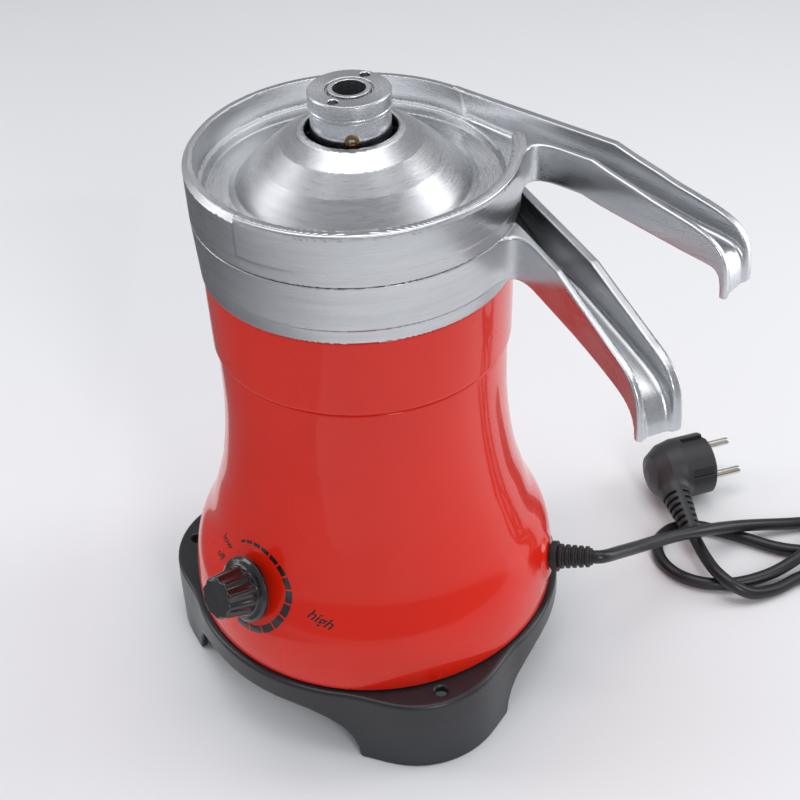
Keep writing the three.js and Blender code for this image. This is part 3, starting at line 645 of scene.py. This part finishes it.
# ---------------------------------------------------------------- base casting
BASE_TOP = 44.0
EARS = (-73.5, 46.5, 166.5)
BASE_RADIUS = 98.2
EAR_AT = 64.0
EAR_RADIUS = 45.75
EAR_HOLE_AT = 100.5
EAR_HOLE_RADIUS = 3.0
BASE_WALL = 4.0
BASE_OPENING = 68.0
ARCH = [[57.5, 0], [56.6, 7], [54, 14], [49.5, 20.5], [43, 25.5], [35, 28.8], [26, 30.0]]
arch_outline = Outline([[58, -8], [57.5, 0], *ARCH[1:], *[[-t, z] for t, z in reversed(ARCH)], [-58, -8]])


def base_field(x, y, z):
    """A hollow round rim with three ears, an arch between each two of them and a hole in each ear."""
    r = np.sqrt(x * x + y * y)
    plan = r - BASE_RADIUS
    holes = np.full_like(plan, 1e3)
    for ear in EARS:
        c, s = math.cos(math.radians(ear)), math.sin(math.radians(ear))
        lobe = np.sqrt((x - EAR_AT * c) ** 2 + (y - EAR_AT * s) ** 2) - EAR_RADIUS
        plan = smooth_min(plan, lobe, 7.0)
        hole = np.sqrt((x - EAR_HOLE_AT * c) ** 2 + (y - EAR_HOLE_AT * s) ** 2) - EAR_HOLE_RADIUS
        holes = np.minimum(holes, hole)
    draft = plan + np.maximum(z - 30, 0) * 0.03
    outer = smooth_max(smooth_max(draft, z - BASE_TOP, 2.6), -z, 1.2)
    inner = smooth_max(plan + BASE_WALL, z - (BASE_TOP - BASE_WALL), 2.0)
    body = smooth_max(outer, -inner, 0.8)
    body = np.maximum(body, BASE_OPENING - r)
    for ear in EARS:
        gap = math.radians(ear + 60)
        c, s = math.cos(gap), math.sin(gap)
        out, side = x * c + y * s, -x * s + y * c
        body = smooth_max(body, -np.maximum(arch_outline(side, z), 40 - out), 2.2)
    holes = holes - np.clip(z - 43.2, 0, 1.0) * 0.8
    return smooth_max(body, -np.maximum(holes, 30 - z), 0.4)


blended("footed_base", base_field, (-112, -112, -1.5), (112, 112, 46), 0.85, "housing",
        "base_coating", ["base_casting"])


# ---------------------------------------------------------------- receivers
CREAM_SPOUT = {
    "top": [[90, 0], [101, -3.3], [112, -6.2], [122, -9.1], [132, -11.4], [142, -13.9], [149.6, -16.8],
            [154.8, -20.4], [158.4, -26], [160.3, -35.5], [160.6, -43.5]],
    "under": [[157.4, -43.5], [156.9, -37], [155.7, -32.8], [153, -30.2], [148, -29.2], [137, -27.6],
              [117, -24.3], [96, -20.8]],
    "floor": [[88, -15.6], [97, -17.4], [117, -21], [137, -24.4], [148, -25.8], [154, -27.5],
            [157.2, -30.6], [158.7, -34.6], [159.3, -39], [159.5, -46]],
    "angle": -43.0, "front": 52.0, "back": 74.0, "rim": 294.0, "root": -18.8,
}
SKIM_SPOUT = {
    "top": [[93, 0], [110, -3.3], [127, -6.3], [139, -8.6], [147, -10], [152.6, -11.7], [156.8, -14],
            [160.3, -17.6], [162.6, -22.4], [163.8, -28], [164.4, -33.5], [164.5, -38.6]],
    "under": [[161.6, -38.6], [160.6, -33.5], [158.2, -29.4], [154.6, -26.7], [149, -24.8], [133, -22.9],
              [110, -21.8]],
    "floor": [[88, -17], [110, -18], [133, -19.3], [145, -20.3], [152.5, -21.8], [157.2, -24.2],
            [160.4, -27.8], [162.4, -32], [163.2, -36], [163.4, -42]],
    "angle": -70.0, "front": 52.5, "back": 73.0, "rim": 268.6, "root": -22.3,
}
SKIM_OUTLINE = [
    [27.5, 276.6], [30, 275.4], [38, 266.5], [47, 257.5], [53, 250.6], [56, 248.4], [67.6, 248.4],
    [69.6, 252], [70, 268.6], [74.5, 268.6], [72.5, 239.3], [69.1, 239.3], [69.1, 235.2], [66.6, 235.2],
    [66.6, 245.4], [54.6, 245.4], [51, 248.8], [44.8, 255.6], [36, 264.6], [28.2, 273.4], [26.3, 274.6],
    [26.3, 276],
]
CREAM_OUTLINE = [
    [21.8, 304.4], [24, 303.8], [32, 298.6], [41, 290.8], [49, 282.6], [53, 278.6], [56, 277.4],
    [66.4, 277.4], [67.2, 281.4], [69.2, 282], [70, 294], [72.8, 294], [75, 291.6], [74.5, 268.9],
    [69.4, 268.9], [69.4, 265.4], [66.8, 265.4], [66.8, 274.4], [54.4, 274.4], [50.8, 277.2],
    [46.8, 280.6], [38.9, 288.6], [30.2, 296.2], [23.4, 300.6], [20.7, 301.6], [20.7, 304],
]
WALL = 3.3
BACK_WALL = 4.3
RING_CAVITY = 70.0
ARM_FROM = 71.0                     # the spout's own metal starts this far from the axis
CUT_FROM = 61.0                     # and its channel this far
WEB_ROUND = 17.0                    # how softly the spout's front wall leaves the ring
CORNER_ROUND = 9.0
CORNER_FROM = 35.0
LEDGE_DEPTH = 12.0


def outline_radius(outline, height):
    """The outer radius of a turned outline at a height."""
    radii = []
    for (ra, za), (rb, zb) in zip(outline, outline[1:] + outline[:1]):
        if za != zb and min(za, zb) <= height <= max(za, zb):
            radii.append(ra + (rb - ra) * (height - za) / (zb - za))
    return max(radii)


def receiver(name, outline, spout, node, body):
    """A turned ring with an open spout; run goes along the spout and side across it."""
    c, s = math.cos(math.radians(spout["angle"])), math.sin(math.radians(spout["angle"]))
    front, back, rim, root = spout["front"], spout["back"], spout["rim"], spout["root"]
    ring = Outline(outline)
    top, under, trough = (through(spout[key], 1.5) for key in ("top", "under", "floor"))
    block = Outline([[0, 0], *top, *under, [86, root + 0.4], [0, root]])
    channel = Outline([[0, 12], [180, 12], [180, trough[-1][1]], *reversed(trough), [62, root + WALL],
                       [8, -LEDGE_DEPTH - 0.2]])
    wall_radius = outline_radius(outline, rim - 6.0)

    def field(x, y, z):
        r = np.sqrt(x * x + y * y)
        run = x * c + y * s
        side = -x * s + y * c
        dz = z - rim
        plan = np.maximum(smooth_min(r - wall_radius, front - side, WEB_ROUND), side - back)
        arm = smooth_max(block(run, dz), plan, 1.2)
        arm = np.maximum(arm, ARM_FROM - r)
        whole = smooth_min(ring(r, z), arm, 0.8)
        strip = np.maximum(front + WALL - side, side - back + BACK_WALL)
        cut = smooth_max(channel(run, dz), strip, 3.0)
        cut = smooth_max(cut, CUT_FROM - r, 1.5)
        corner = smooth_min(front + WALL - side, r - RING_CAVITY, CORNER_ROUND)
        corner = np.maximum(corner, front - CORNER_ROUND - side)
        corner = np.maximum(np.maximum(corner, -LEDGE_DEPTH - dz), side - back + BACK_WALL)
        corner = np.maximum(np.maximum(corner, CORNER_FROM - run), CUT_FROM - r)
        return smooth_max(whole, -np.minimum(cut, corner), 0.9)

    low_z, high_z = (222.0, 279.0) if rim < 270 else (248.0, 307.0)
    corners = np.array([[run * c - side * s, run * s + side * c]
                        for run in (0, 168) for side in (front - 18, back + 2)])
    low = np.minimum(corners.min(0), [-77, -77]) - 1
    high = np.maximum(corners.max(0), [77, 77]) + 1
    return blended(name, field, (*low, low_z), (*high, high_z), 0.8, body, "cast_aluminium", [node])


skim_vessel = receiver("skim_vessel", SKIM_OUTLINE, SKIM_SPOUT, "skim_milk_receiver", "skim_receiver")
cream_vessel = receiver("cream_vessel", CREAM_OUTLINE, CREAM_SPOUT, "cream_receiver", "cream_receiver")


# ---------------------------------------------------------------- separator bowl
NUT_TOP = 322.0
NUT_RADIUS = 18.4
SPANNER_HOLES = (-120.0, 60.0)
SPANNER_CIRCLE = 14.3
SPANNER_HOLE_RADIUS = 2.3
SCREW_HEIGHT = 305.6
lathe("hood_shell", [
    [17.8, 313.6], [17.8, 272], [24, 267.5], [50, 237], [50, 218.6], [46.6, 218.6], [46.6, 236],
    [22, 264.8], [15.2, 270], [15.2, 298], [13.4, 300], [13.4, 313.6],
], "rotor", "turned_aluminium", ["bowl_hood"])
lathe("bowl_shell", [
    [0, 206.5], [40, 206.5], [46.4, 210], [46.4, 216], [49.6, 216], [49.6, 204], [46, 197.5], [30, 195.5],
    [15, 195.5], [13, 192], [13, 184], [5.3, 184], [5.3, 203], [0, 203],
], "rotor", "turned_aluminium", ["bowl_base"], closed=False)
lathe("feed_pipe", [[7.3, 206.8], [7.3, 322.4], [9.4, 322.4], [9.4, 206.8]], "rotor",
      "turned_aluminium", ["feed_tube"], 96, 0.35)
nut_outline = Outline([
    [9.7, 313.9], [NUT_RADIUS, 313.9], [NUT_RADIUS, 321.3], [17.7, NUT_TOP], [10.9, NUT_TOP], [10.5, 321.6],
    [10.5, NUT_TOP - 1.6], [9.7, NUT_TOP - 1.6],
], margin=8)


def nut_field(x, y, z):
    """The round nut, with a turned line round it and two spanner holes in its top."""
    r = np.sqrt(x * x + y * y)
    body = nut_outline(r, z)
    line = np.sqrt((r - 18.55) ** 2 + (z - 315.6) ** 2) - 0.4
    body = smooth_max(body, -line, 0.15)
    for a in SPANNER_HOLES:
        hx, hy = SPANNER_CIRCLE * math.cos(math.radians(a)), SPANNER_CIRCLE * math.sin(math.radians(a))
        hole = np.sqrt((x - hx) ** 2 + (y - hy) ** 2) - SPANNER_HOLE_RADIUS - np.clip(z - 321.6, 0, 0.6) * 0.8
        body = smooth_max(body, -np.maximum(hole, 316.0 - z), 0.15)
    return body


blended("hood_nut", nut_field, (-19.5, -19.5, 313), (19.5, 19.5, 323), 0.3, "rotor",
        "turned_aluminium", ["bowl_nut"])


def screw_field(x, y, z):
    """The cream screw in its own axes: +Z out of the neck, a square socket in its face."""
    r = np.sqrt(x * x + y * y)
    body = smooth_max(r - 3.2, np.abs(z - 16.25) - 2.05, 0.35)
    socket = np.maximum(np.maximum(np.abs(x), np.abs(y)) - 1.25, 16.6 - z)
    return smooth_max(body, -socket, 0.15)


screw_matrix = aim_matrix(-90, 0, (0, 0, SCREW_HEIGHT))
blended("cream_plug", screw_field, (-4, -4, 13.6), (4, 4, 18.9), 0.15, "rotor", "brass",
        ["cream_screw"], screw_matrix)


# ---------------------------------------------------------------- materials
def new_material(name):
    mat = bpy.data.materials.new(name)
    mat.use_nodes = True
    nodes, links = mat.node_tree.nodes, mat.node_tree.links
    return mat, nodes, links, nodes["Principled BSDF"]


def socket_set(shader, **values):
    for key, value in values.items():
        shader.inputs[key.replace("_", " ")].default_value = value


def node(nodes, kind, **values):
    made = nodes.new(kind)
    for key, value in values.items():
        setattr(made, key, value)
    return made


def noise(nodes, links, vector, scale, detail=4.0, rough=0.55):
    made = nodes.new("ShaderNodeTexNoise")
    made.inputs["Scale"].default_value = scale
    made.inputs["Detail"].default_value = detail
    made.inputs["Roughness"].default_value = rough
    links.new(vector, made.inputs["Vector"])
    return made.outputs["Fac"]


def spread(nodes, links, value, low, high, from_low=0.3, from_high=0.7):
    made = nodes.new("ShaderNodeMapRange")
    made.inputs["From Min"].default_value = from_low
    made.inputs["From Max"].default_value = from_high
    made.inputs["To Min"].default_value = low
    made.inputs["To Max"].default_value = high
    links.new(value, made.inputs["Value"])
    return made.outputs["Result"]


def bump(nodes, links, value, strength, distance):
    made = nodes.new("ShaderNodeBump")
    made.inputs["Strength"].default_value = strength
    made.inputs["Distance"].default_value = distance
    links.new(value, made.inputs["Height"])
    return made.outputs["Normal"]


def tint(nodes, links, value, low, high):
    made = node(nodes, "ShaderNodeMix", data_type="RGBA")
    made.inputs[6].default_value = (*low, 1)
    made.inputs[7].default_value = (*high, 1)
    links.new(value, made.inputs[0])
    return made.outputs[2]


def plain(name, low, high, rough, metallic=0.0, coat=0.0, grain=900.0, relief=0.15, patch=35.0, spec=0.5):
    """A material with slow colour patches, varied roughness and a fine grain."""
    mat, nodes, links, shader = new_material(name)
    place = nodes.new("ShaderNodeTexCoord").outputs["Object"]
    socket_set(shader, Metallic=metallic, Coat_Weight=coat, Coat_Roughness=0.08, Specular_IOR_Level=spec)
    slow = noise(nodes, links, place, patch, 3.0)
    fine = noise(nodes, links, place, grain, 3.0)
    links.new(tint(nodes, links, spread(nodes, links, slow, 0, 1), low, high), shader.inputs["Base Color"])
    links.new(spread(nodes, links, slow, rough[0], rough[1]), shader.inputs["Roughness"])
    links.new(bump(nodes, links, fine, relief, 0.0002), shader.inputs["Normal"])
    return mat


def enamel():
    mat, nodes, links, shader = new_material("red_gloss_enamel")
    place = nodes.new("ShaderNodeTexCoord").outputs["Object"]
    socket_set(shader, Specular_IOR_Level=0.15, Coat_Weight=0.65, Coat_Roughness=0.03, Coat_IOR=1.45)
    slow = noise(nodes, links, place, 14.0, 2.0)
    peel = noise(nodes, links, place, 160.0, 2.0)
    patches = spread(nodes, links, slow, 0, 1)
    links.new(tint(nodes, links, patches, (0.70, 0.015, 0.003), (0.75, 0.018, 0.005)),
              shader.inputs["Base Color"])
    links.new(spread(nodes, links, slow, 0.22, 0.30), shader.inputs["Roughness"])
    normal = bump(nodes, links, peel, 0.05, 0.0004)
    links.new(normal, shader.inputs["Coat Normal"])
    return mat


def turned_metal(name, low, high, rough, arm_angle=None, groove=2600.0, relief=0.10, anisotropy=0.75):
    """Bare metal with fine lines that run round the spin axis, or along the spout outside the ring."""
    mat, nodes, links, shader = new_material(name)
    place = nodes.new("ShaderNodeTexCoord").outputs["Object"]
    shift = node(nodes, "ShaderNodeVectorMath", operation="SUBTRACT")
    links.new(place, shift.inputs[0])
    shift.inputs[1].default_value = tuple(row([0, 0, 0]))
    split = nodes.new("ShaderNodeSeparateXYZ")
    links.new(shift.outputs[0], split.inputs[0])
    flat = nodes.new("ShaderNodeCombineXYZ")
    links.new(split.outputs["X"], flat.inputs["X"])
    links.new(split.outputs["Y"], flat.inputs["Y"])
    radius = node(nodes, "ShaderNodeVectorMath", operation="LENGTH")
    links.new(flat.outputs[0], radius.inputs[0])
    angle = node(nodes, "ShaderNodeMath", operation="ARCTAN2")
    links.new(split.outputs["Y"], angle.inputs[0])
    links.new(split.outputs["X"], angle.inputs[1])
    slow_angle = node(nodes, "ShaderNodeMath", operation="MULTIPLY")
    links.new(angle.outputs[0], slow_angle.inputs[0])
    slow_angle.inputs[1].default_value = 0.0035
    lines = nodes.new("ShaderNodeCombineXYZ")
    links.new(radius.outputs["Value"], lines.inputs["X"])
    links.new(slow_angle.outputs[0], lines.inputs["Y"])
    links.new(split.outputs["Z"], lines.inputs["Z"])
    line_place = lines.outputs[0]
    around = node(nodes, "ShaderNodeVectorMath", operation="CROSS_PRODUCT")
    around.inputs[0].default_value = (0, 0, 1)
    links.new(flat.outputs[0], around.inputs[1])
    direction = node(nodes, "ShaderNodeVectorMath", operation="NORMALIZE")
    links.new(around.outputs[0], direction.inputs[0])
    tangent = direction.outputs[0]
    if arm_angle is not None:
        turned_place = node(nodes, "ShaderNodeVectorRotate", rotation_type="Z_AXIS")
        links.new(shift.outputs[0], turned_place.inputs["Vector"])
        turned_place.inputs["Angle"].default_value = -math.radians(arm_angle)
        stretch = node(nodes, "ShaderNodeVectorMath", operation="MULTIPLY")
        links.new(turned_place.outputs[0], stretch.inputs[0])
        stretch.inputs[1].default_value = (0.03, 0.6, 0.6)
        beyond = spread(nodes, links, radius.outputs["Value"], 0, 1, 0.0755, 0.0775)
        pick = node(nodes, "ShaderNodeMix", data_type="VECTOR")
        links.new(beyond, pick.inputs[0])
        links.new(line_place, pick.inputs[4])
        links.new(stretch.outputs[0], pick.inputs[5])
        line_place = pick.outputs[1]
        lean = node(nodes, "ShaderNodeMix", data_type="VECTOR")
        links.new(beyond, lean.inputs[0])
        links.new(tangent, lean.inputs[4])
        heading = math.radians(arm_angle)
        lean.inputs[5].default_value = (math.cos(heading), math.sin(heading), 0)
        tangent = lean.outputs[1]
    world = node(nodes, "ShaderNodeVectorTransform", vector_type="VECTOR", convert_from="OBJECT",
                 convert_to="WORLD")
    links.new(tangent, world.inputs[0])
    links.new(world.outputs[0], shader.inputs["Tangent"])
    fine = noise(nodes, links, line_place, groove, 5.0, 0.6)
    bands = noise(nodes, links, line_place, groove * 0.16, 3.0)
    slow = noise(nodes, links, place, 22.0, 4.0)
    mixed = node(nodes, "ShaderNodeMath", operation="ADD")
    links.new(fine, mixed.inputs[0])
    links.new(bands, mixed.inputs[1])
    socket_set(shader, Metallic=1.0, Anisotropic=anisotropy)
    links.new(tint(nodes, links, spread(nodes, links, mixed.outputs[0], 0, 1, 0.75, 1.25), low, high),
              shader.inputs["Base Color"])
    rough_sum = node(nodes, "ShaderNodeMath", operation="ADD")
    links.new(spread(nodes, links, slow, rough[0], rough[1]), rough_sum.inputs[0])
    links.new(spread(nodes, links, fine, -0.04, 0.06), rough_sum.inputs[1])
    links.new(rough_sum.outputs[0], shader.inputs["Roughness"])
    links.new(bump(nodes, links, mixed.outputs[0], relief, 0.0002), shader.inputs["Normal"])
    return mat


FINISHES = {
    "red_enamel": enamel(),
    "base_coating": plain("charcoal_coating", (0.015, 0.016, 0.020), (0.021, 0.022, 0.027), (0.28, 0.36),
                          grain=1400.0, relief=0.12),
    "turned_aluminium": turned_metal("turned_aluminium", (0.63, 0.64, 0.66), (0.72, 0.73, 0.75), (0.22, 0.31),
                                     relief=0.06),
    "steel": plain("ground_steel", (0.45, 0.46, 0.48), (0.56, 0.57, 0.58), (0.25, 0.4), metallic=1.0),
    "brass": plain("brass", (0.24, 0.125, 0.05), (0.32, 0.18, 0.07), (0.25, 0.4), metallic=1.0),
    "copper": plain("enamelled_copper", (0.45, 0.17, 0.07), (0.55, 0.23, 0.10), (0.25, 0.4), metallic=0.8,
                    grain=2200.0, relief=0.4),
    "lamination": plain("laminated_iron", (0.10, 0.10, 0.11), (0.17, 0.17, 0.18), (0.4, 0.55), metallic=0.9,
                        grain=2000.0, relief=0.3),
    "carbon": plain("carbon", (0.02, 0.02, 0.02), (0.035, 0.035, 0.036), (0.55, 0.7)),
    "bakelite": plain("black_gloss", (0.006, 0.006, 0.007), (0.011, 0.010, 0.011), (0.14, 0.2), coat=0.6,
                      relief=0.03),
    "control_case": plain("control_case", (0.03, 0.03, 0.033), (0.05, 0.05, 0.055), (0.45, 0.6)),
    "circuit_board": plain("circuit_board", (0.02, 0.11, 0.035), (0.03, 0.16, 0.05), (0.35, 0.5)),
    "pale_plastic": plain("pale_plastic", (0.62, 0.60, 0.53), (0.70, 0.68, 0.61), (0.4, 0.5)),
    "seal_rubber": plain("pale_rubber", (0.68, 0.66, 0.60), (0.76, 0.74, 0.68), (0.6, 0.7)),
    "black_rubber": plain("black_rubber", (0.013, 0.013, 0.014), (0.020, 0.020, 0.022), (0.42, 0.55)),
    "cord_pvc": plain("black_pvc", (0.012, 0.012, 0.014), (0.020, 0.020, 0.023), (0.3, 0.42), relief=0.08),
    "nickel": plain("nickel", (0.70, 0.66, 0.58), (0.80, 0.76, 0.68), (0.16, 0.26), metallic=1.0,
                    relief=0.05),
}
cast = {
    name: turned_metal(name, (0.54, 0.55, 0.57), (0.63, 0.64, 0.66), (0.25, 0.34), arm_angle=arm,
                       groove=2000.0, relief=0.09)
    for name, arm in (("skim_aluminium", -70.0), ("cream_aluminium", -43.0))
}
FINISHES["cast_aluminium"] = plain("cast_aluminium", (0.56, 0.57, 0.59), (0.68, 0.69, 0.71), (0.32, 0.45),
                                   metallic=1.0)
plug_black = plain("plug_charcoal", (0.018, 0.019, 0.022), (0.026, 0.027, 0.031), (0.40, 0.50))

slots = {part["node"]: part["material_slot"] for part in frame["record"]["subparts"]}
for name, node_object in frame["nodes"].items():
    node_object.data.materials.clear()
    node_object.data.materials.append(FINISHES[slots[name]])
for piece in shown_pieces():
    if "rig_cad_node" not in piece:
        piece.data.materials.clear()
        piece.data.materials.append(FINISHES[piece["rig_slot"]])
for piece, finish in ((skim_vessel, cast["skim_aluminium"]), (cream_vessel, cast["cream_aluminium"]),
                      (mains_plug, plug_black)):
    piece.data.materials.clear()
    piece.data.materials.append(finish)


# ---------------------------------------------------------------- floor and light
floor_mesh = bpy.data.meshes.new("floor")
floor_mesh.from_pydata([(-4, -4, 0), (4, -4, 0), (4, 4, 0), (-4, 4, 0)], [], [(0, 1, 2, 3)])
floor = bpy.data.objects.new("floor", floor_mesh)
bpy.context.scene.collection.objects.link(floor)
floor_mat = plain("pale_floor", (0.84, 0.85, 0.87), (0.86, 0.87, 0.89), (0.5, 0.6), grain=60.0, relief=0.0,
                  patch=1.5)
floor_mesh.materials.append(floor_mat)

# a dark card beside the machine, seen only in its reflections
card_mesh = bpy.data.meshes.new("dark_card")
card_mesh.from_pydata([(-0.9, -0.5, 0.002), (-0.2, -0.5, 0.002), (-0.2, 0.5, 0.002), (-0.9, 0.5, 0.002)], [],
                      [(0, 1, 2, 3)])
card = bpy.data.objects.new("dark_card", card_mesh)
bpy.context.scene.collection.objects.link(card)
card_mat = plain("dark_card", (0.12, 0.12, 0.13), (0.14, 0.14, 0.15), (0.7, 0.8), relief=0.0)
card_nodes, card_links = card_mat.node_tree.nodes, card_mat.node_tree.links
card_split = card_nodes.new("ShaderNodeSeparateXYZ")
card_links.new(card_nodes.new("ShaderNodeTexCoord").outputs["Object"], card_split.inputs[0])
card_links.new(spread(card_nodes, card_links, card_split.outputs["Y"], 0, 1, -0.5, 0.05),
               card_nodes["Principled BSDF"].inputs["Alpha"])
card_mesh.materials.append(card_mat)
card.visible_camera = False
card.visible_diffuse = False
card.visible_shadow = False

world = bpy.data.worlds.new("studio")
world.use_nodes = True
world.node_tree.nodes["Background"].inputs["Color"].default_value = (0.93, 0.95, 1.0, 1)
world.node_tree.nodes["Background"].inputs["Strength"].default_value = 0.38
bpy.context.scene.world = world


def soft_box(name, place, target, width, height, power, colour=(1, 1, 1)):
    light = bpy.data.lights.new(name, "AREA")
    light.shape = "RECTANGLE"
    light.size = width
    light.size_y = height
    light.energy = power
    light.color = colour
    lamp = bpy.data.objects.new(name, light)
    bpy.context.scene.collection.objects.link(lamp)
    lamp.location = place
    lamp.rotation_euler = (Vector(target) - Vector(place)).to_track_quat("-Z", "Y").to_euler()


soft_box("left_box", (-1.2, 0.25, 0.6), (0, 0, 0.15), 0.4, 1.2, 4.0)
soft_box("right_box", (1.2, 0.15, 0.6), (0, 0, 0.15), 0.5, 1.2, 6.0)
soft_box("front_box", (0.55, -1.5, 1.1), (0, 0, 0.15), 0.3, 0.9, 8.0)
soft_box("top_box", (0.0, 0.2, 1.6), (0, 0, 0.1), 1.5, 1.2, 12.0)
